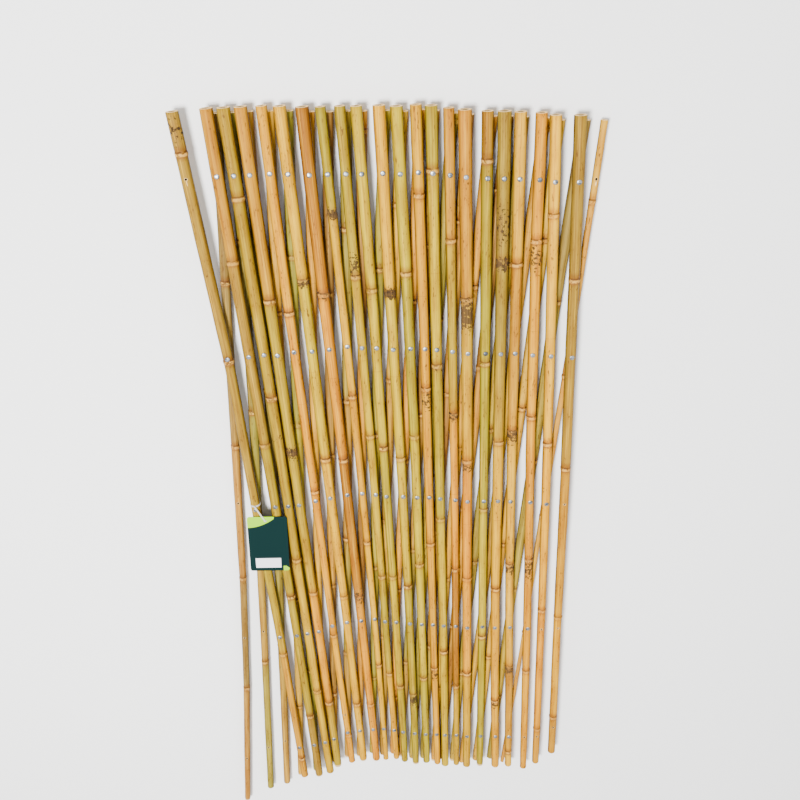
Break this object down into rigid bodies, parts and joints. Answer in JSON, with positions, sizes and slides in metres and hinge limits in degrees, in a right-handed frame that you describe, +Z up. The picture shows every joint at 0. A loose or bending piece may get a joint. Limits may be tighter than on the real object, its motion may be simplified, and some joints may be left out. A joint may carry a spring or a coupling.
{
  "type": "expanding bamboo trellis fence",
  "caption": "Expanding trellis of nailed bamboo canes in two crossed layers, folded nearly shut and lying on its back, with a hang tag.",
  "frame": {"origin": "centre of the footprint on the floor that the trellis lies on, at its lowest point", "axes": "+Z up out of the nail heads, +Y towards the thick cane ends at the top of the fence, +X to the right seen from the front"},
  "size_m": [0.6094, 1.3072, 0.0385],
  "materials": {
    "bamboo_front": "satin",
    "bamboo_back": "satin",
    "nail_steel": "satin",
    "tag_print": "satin",
    "tie_plastic": "gloss"
  },
  "bodies": {
    "front_cane_01": {"front_cane_01": "bamboo_front", "hang_tag": "tag_print", "tag_tie": "tie_plastic"},
    "front_cane_02": {"front_cane_02": "bamboo_front"},
    "front_cane_03": {"front_cane_03": "bamboo_front"},
    "front_cane_04": {"front_cane_04": "bamboo_front"},
    "front_cane_05": {"front_cane_05": "bamboo_front"},
    "front_cane_06": {"front_cane_06": "bamboo_front"},
    "front_cane_07": {"front_cane_07": "bamboo_front"},
    "front_cane_08": {"front_cane_08": "bamboo_front"},
    "front_cane_09": {"front_cane_09": "bamboo_front"},
    "front_cane_10": {"front_cane_10": "bamboo_front"},
    "front_cane_11": {"front_cane_11": "bamboo_front"},
    "front_cane_12": {"front_cane_12": "bamboo_front"},
    "front_cane_13": {"front_cane_13": "bamboo_front"},
    "front_cane_14": {"front_cane_14": "bamboo_front"},
    "front_cane_15": {"front_cane_15": "bamboo_front"},
    "front_cane_16": {"front_cane_16": "bamboo_front"},
    "front_cane_17": {"front_cane_17": "bamboo_front"},
    "front_cane_18": {"front_cane_18": "bamboo_front"},
    "front_cane_19": {"front_cane_19": "bamboo_front"},
    "front_cane_20": {"front_cane_20": "bamboo_front"},
    "front_cane_21": {"front_cane_21": "bamboo_front"},
    "front_cane_22": {"front_cane_22": "bamboo_front"},
    "back_cane_01": {"back_cane_01": "bamboo_back"},
    "back_cane_02": {"back_cane_02": "bamboo_back"},
    "back_cane_03": {"back_cane_03": "bamboo_back"},
    "back_cane_04": {"back_cane_04": "bamboo_back"},
    "back_cane_05": {"back_cane_05": "bamboo_back"},
    "back_cane_06": {"back_cane_06": "bamboo_back"},
    "back_cane_07": {"back_cane_07": "bamboo_back"},
    "back_cane_08": {"back_cane_08": "bamboo_back"},
    "back_cane_09": {"back_cane_09": "bamboo_back"},
    "back_cane_10": {"back_cane_10": "bamboo_back"},
    "back_cane_11": {"back_cane_11": "bamboo_back"},
    "back_cane_12": {"back_cane_12": "bamboo_back"},
    "back_cane_13": {"back_cane_13": "bamboo_back"},
    "back_cane_14": {"back_cane_14": "bamboo_back"},
    "back_cane_15": {"back_cane_15": "bamboo_back"},
    "back_cane_16": {"back_cane_16": "bamboo_back"},
    "back_cane_17": {"back_cane_17": "bamboo_back"},
    "back_cane_18": {"back_cane_18": "bamboo_back"},
    "back_cane_19": {"back_cane_19": "bamboo_back"},
    "back_cane_20": {"back_cane_20": "bamboo_back"},
    "back_cane_21": {"back_cane_21": "bamboo_back"},
    "back_cane_22": {"back_cane_22": "bamboo_back"}
  },
  "joints": [
    {"name": "fold", "type": "hinge", "parent": "back_cane_11", "child": "front_cane_12", "pos_m": [0.00282, 0.56337, 0.01773], "axis": [0, 0, 1], "range_deg": [0, 60]},
    {"name": "hinge_front_cane_11", "type": "hinge", "parent": "back_cane_11", "child": "front_cane_11", "pos_m": [-0.00568, 0.30587, 0.01773], "axis": [0, 0, 1], "range_deg": [0, 60]},
    {"name": "hinge_front_cane_10", "type": "hinge", "parent": "back_cane_11", "child": "front_cane_10", "pos_m": [-0.01518, 0.04937, 0.01773], "axis": [0, 0, 1], "range_deg": [0, 60]},
    {"name": "hinge_front_cane_09", "type": "hinge", "parent": "back_cane_11", "child": "front_cane_09", "pos_m": [-0.01768, -0.20613, 0.01773], "axis": [0, 0, 1], "range_deg": [0, 60]},
    {"name": "hinge_front_cane_08", "type": "hinge", "parent": "back_cane_11", "child": "front_cane_08", "pos_m": [-0.02018, -0.45963, 0.01773], "axis": [0, 0, 1], "range_deg": [0, 60]},
    {"name": "hinge_back_cane_12", "type": "hinge", "parent": "front_cane_12", "child": "back_cane_12", "pos_m": [0.01982, 0.30687, 0.01773], "axis": [0, 0, 1], "range_deg": [-60, 0]},
    {"name": "hinge_back_cane_13", "type": "hinge", "parent": "front_cane_12", "child": "back_cane_13", "pos_m": [0.03382, 0.04737, 0.01773], "axis": [0, 0, 1], "range_deg": [-60, 0]},
    {"name": "hinge_back_cane_14", "type": "hinge", "parent": "front_cane_12", "child": "back_cane_14", "pos_m": [0.04582, -0.21213, 0.01773], "axis": [0, 0, 1], "range_deg": [-60, 0]},
    {"name": "hinge_back_cane_15", "type": "hinge", "parent": "front_cane_12", "child": "back_cane_15", "pos_m": [0.05782, -0.47263, 0.01773], "axis": [0, 0, 1], "range_deg": [-60, 0]},
    {"name": "hinge_back_cane_10", "type": "hinge", "parent": "front_cane_11", "child": "back_cane_10", "pos_m": [-0.02068, 0.56437, 0.01773], "axis": [0, 0, 1], "range_deg": [-60, 0]},
    {"name": "hinge_back_cane_09", "type": "hinge", "parent": "front_cane_10", "child": "back_cane_09", "pos_m": [-0.04918, 0.56337, 0.01773], "axis": [0, 0, 1], "range_deg": [-60, 0]},
    {"name": "hinge_back_cane_08", "type": "hinge", "parent": "front_cane_09", "child": "back_cane_08", "pos_m": [-0.07068, 0.56337, 0.01773], "axis": [0, 0, 1], "range_deg": [-60, 0]},
    {"name": "hinge_back_cane_07", "type": "hinge", "parent": "front_cane_08", "child": "back_cane_07", "pos_m": [-0.09518, 0.56237, 0.01773], "axis": [0, 0, 1], "range_deg": [-60, 0]},
    {"name": "hinge_front_cane_13", "type": "hinge", "parent": "back_cane_12", "child": "front_cane_13", "pos_m": [0.02732, 0.56537, 0.01773], "axis": [0, 0, 1], "range_deg": [0, 60]},
    {"name": "hinge_front_cane_14", "type": "hinge", "parent": "back_cane_13", "child": "front_cane_14", "pos_m": [0.04682, 0.56437, 0.01773], "axis": [0, 0, 1], "range_deg": [0, 60]},
    {"name": "hinge_front_cane_15", "type": "hinge", "parent": "back_cane_14", "child": "front_cane_15", "pos_m": [0.07032, 0.56137, 0.01773], "axis": [0, 0, 1], "range_deg": [0, 60]},
    {"name": "hinge_front_cane_16", "type": "hinge", "parent": "back_cane_15", "child": "front_cane_16", "pos_m": [0.09182, 0.55937, 0.01773], "axis": [0, 0, 1], "range_deg": [0, 60]},
    {"name": "hinge_front_cane_07", "type": "hinge", "parent": "back_cane_10", "child": "front_cane_07", "pos_m": [-0.03968, -0.45663, 0.01773], "axis": [0, 0, 1], "range_deg": [0, 60]},
    {"name": "hinge_front_cane_06", "type": "hinge", "parent": "back_cane_09", "child": "front_cane_06", "pos_m": [-0.06418, -0.45963, 0.01773], "axis": [0, 0, 1], "range_deg": [0, 60]},
    {"name": "hinge_front_cane_05", "type": "hinge", "parent": "back_cane_08", "child": "front_cane_05", "pos_m": [-0.08668, -0.46563, 0.01773], "axis": [0, 0, 1], "range_deg": [0, 60]},
    {"name": "hinge_front_cane_04", "type": "hinge", "parent": "back_cane_07", "child": "front_cane_04", "pos_m": [-0.11218, -0.47863, 0.01773], "axis": [0, 0, 1], "range_deg": [0, 60]},
    {"name": "hinge_back_cane_16", "type": "hinge", "parent": "front_cane_13", "child": "back_cane_16", "pos_m": [0.07832, -0.47463, 0.01773], "axis": [0, 0, 1], "range_deg": [-60, 0]},
    {"name": "hinge_back_cane_17", "type": "hinge", "parent": "front_cane_14", "child": "back_cane_17", "pos_m": [0.09382, -0.47563, 0.01773], "axis": [0, 0, 1], "range_deg": [-60, 0]},
    {"name": "hinge_back_cane_18", "type": "hinge", "parent": "front_cane_15", "child": "back_cane_18", "pos_m": [0.11532, -0.47863, 0.01773], "axis": [0, 0, 1], "range_deg": [-60, 0]},
    {"name": "hinge_back_cane_19", "type": "hinge", "parent": "front_cane_16", "child": "back_cane_19", "pos_m": [0.13482, -0.47863, 0.01773], "axis": [0, 0, 1], "range_deg": [-60, 0]},
    {"name": "hinge_back_cane_06", "type": "hinge", "parent": "front_cane_07", "child": "back_cane_06", "pos_m": [-0.11968, 0.56237, 0.01773], "axis": [0, 0, 1], "range_deg": [-60, 0]},
    {"name": "hinge_back_cane_05", "type": "hinge", "parent": "front_cane_06", "child": "back_cane_05", "pos_m": [-0.14818, 0.56337, 0.01773], "axis": [0, 0, 1], "range_deg": [-60, 0]},
    {"name": "hinge_back_cane_04", "type": "hinge", "parent": "front_cane_05", "child": "back_cane_04", "pos_m": [-0.17268, 0.56337, 0.01773], "axis": [0, 0, 1], "range_deg": [-60, 0]},
    {"name": "hinge_back_cane_03", "type": "hinge", "parent": "front_cane_04", "child": "back_cane_03", "pos_m": [-0.19918, 0.56237, 0.01773], "axis": [0, 0, 1], "range_deg": [-60, 0]},
    {"name": "hinge_front_cane_17", "type": "hinge", "parent": "back_cane_16", "child": "front_cane_17", "pos_m": [0.12132, 0.55737, 0.01773], "axis": [0, 0, 1], "range_deg": [0, 60]},
    {"name": "hinge_front_cane_18", "type": "hinge", "parent": "back_cane_17", "child": "front_cane_18", "pos_m": [0.14382, 0.55737, 0.01773], "axis": [0, 0, 1], "range_deg": [0, 60]},
    {"name": "hinge_front_cane_19", "type": "hinge", "parent": "back_cane_18", "child": "front_cane_19", "pos_m": [0.16532, 0.55637, 0.01773], "axis": [0, 0, 1], "range_deg": [0, 60]},
    {"name": "hinge_front_cane_20", "type": "hinge", "parent": "back_cane_19", "child": "front_cane_20", "pos_m": [0.19282, 0.55537, 0.01773], "axis": [0, 0, 1], "range_deg": [0, 60]},
    {"name": "hinge_front_cane_03", "type": "hinge", "parent": "back_cane_06", "child": "front_cane_03", "pos_m": [-0.12868, -0.48663, 0.01773], "axis": [0, 0, 1], "range_deg": [0, 60]},
    {"name": "hinge_front_cane_02", "type": "hinge", "parent": "back_cane_05", "child": "front_cane_02", "pos_m": [-0.14918, -0.49263, 0.01773], "axis": [0, 0, 1], "range_deg": [0, 60]},
    {"name": "hinge_front_cane_01", "type": "hinge", "parent": "back_cane_04", "child": "front_cane_01", "pos_m": [-0.17668, -0.49963, 0.01773], "axis": [0, 0, 1], "range_deg": [0, 60]},
    {"name": "hinge_back_cane_20", "type": "hinge", "parent": "front_cane_17", "child": "back_cane_20", "pos_m": [0.16032, -0.48063, 0.01773], "axis": [0, 0, 1], "range_deg": [-60, 0]},
    {"name": "hinge_back_cane_21", "type": "hinge", "parent": "front_cane_18", "child": "back_cane_21", "pos_m": [0.18782, -0.48063, 0.01773], "axis": [0, 0, 1], "range_deg": [-60, 0]},
    {"name": "hinge_back_cane_22", "type": "hinge", "parent": "front_cane_19", "child": "back_cane_22", "pos_m": [0.21332, -0.48363, 0.01773], "axis": [0, 0, 1], "range_deg": [-60, 0]},
    {"name": "hinge_back_cane_02", "type": "hinge", "parent": "front_cane_03", "child": "back_cane_02", "pos_m": [-0.22068, 0.56137, 0.01773], "axis": [0, 0, 1], "range_deg": [-60, 0]},
    {"name": "hinge_back_cane_01", "type": "hinge", "parent": "front_cane_02", "child": "back_cane_01", "pos_m": [-0.24318, 0.56037, 0.01773], "axis": [0, 0, 1], "range_deg": [-60, 0]},
    {"name": "hinge_front_cane_21", "type": "hinge", "parent": "back_cane_20", "child": "front_cane_21", "pos_m": [0.21432, 0.55237, 0.01773], "axis": [0, 0, 1], "range_deg": [0, 60]},
    {"name": "hinge_front_cane_22", "type": "hinge", "parent": "back_cane_21", "child": "front_cane_22", "pos_m": [0.24682, 0.55237, 0.01773], "axis": [0, 0, 1], "range_deg": [0, 60]}
  ],
  "couplings": [
    {"joint": "hinge_front_cane_11", "follows": "fold", "ratio": 1},
    {"joint": "hinge_front_cane_10", "follows": "fold", "ratio": 1},
    {"joint": "hinge_front_cane_09", "follows": "fold", "ratio": 1},
    {"joint": "hinge_front_cane_08", "follows": "fold", "ratio": 1},
    {"joint": "hinge_back_cane_12", "follows": "fold", "ratio": -1},
    {"joint": "hinge_back_cane_13", "follows": "fold", "ratio": -1},
    {"joint": "hinge_back_cane_14", "follows": "fold", "ratio": -1},
    {"joint": "hinge_back_cane_15", "follows": "fold", "ratio": -1},
    {"joint": "hinge_back_cane_10", "follows": "fold", "ratio": -1},
    {"joint": "hinge_back_cane_09", "follows": "fold", "ratio": -1},
    {"joint": "hinge_back_cane_08", "follows": "fold", "ratio": -1},
    {"joint": "hinge_back_cane_07", "follows": "fold", "ratio": -1},
    {"joint": "hinge_front_cane_13", "follows": "fold", "ratio": 1},
    {"joint": "hinge_front_cane_14", "follows": "fold", "ratio": 1},
    {"joint": "hinge_front_cane_15", "follows": "fold", "ratio": 1},
    {"joint": "hinge_front_cane_16", "follows": "fold", "ratio": 1},
    {"joint": "hinge_front_cane_07", "follows": "fold", "ratio": 1},
    {"joint": "hinge_front_cane_06", "follows": "fold", "ratio": 1},
    {"joint": "hinge_front_cane_05", "follows": "fold", "ratio": 1},
    {"joint": "hinge_front_cane_04", "follows": "fold", "ratio": 1},
    {"joint": "hinge_back_cane_16", "follows": "fold", "ratio": -1},
    {"joint": "hinge_back_cane_17", "follows": "fold", "ratio": -1},
    {"joint": "hinge_back_cane_18", "follows": "fold", "ratio": -1},
    {"joint": "hinge_back_cane_19", "follows": "fold", "ratio": -1},
    {"joint": "hinge_back_cane_06", "follows": "fold", "ratio": -1},
    {"joint": "hinge_back_cane_05", "follows": "fold", "ratio": -1},
    {"joint": "hinge_back_cane_04", "follows": "fold", "ratio": -1},
    {"joint": "hinge_back_cane_03", "follows": "fold", "ratio": -1},
    {"joint": "hinge_front_cane_17", "follows": "fold", "ratio": 1},
    {"joint": "hinge_front_cane_18", "follows": "fold", "ratio": 1},
    {"joint": "hinge_front_cane_19", "follows": "fold", "ratio": 1},
    {"joint": "hinge_front_cane_20", "follows": "fold", "ratio": 1},
    {"joint": "hinge_front_cane_03", "follows": "fold", "ratio": 1},
    {"joint": "hinge_front_cane_02", "follows": "fold", "ratio": 1},
    {"joint": "hinge_front_cane_01", "follows": "fold", "ratio": 1},
    {"joint": "hinge_back_cane_20", "follows": "fold", "ratio": -1},
    {"joint": "hinge_back_cane_21", "follows": "fold", "ratio": -1},
    {"joint": "hinge_back_cane_22", "follows": "fold", "ratio": -1},
    {"joint": "hinge_back_cane_02", "follows": "fold", "ratio": -1},
    {"joint": "hinge_back_cane_01", "follows": "fold", "ratio": -1},
    {"joint": "hinge_front_cane_21", "follows": "fold", "ratio": 1},
    {"joint": "hinge_front_cane_22", "follows": "fold", "ratio": 1}
  ]
}
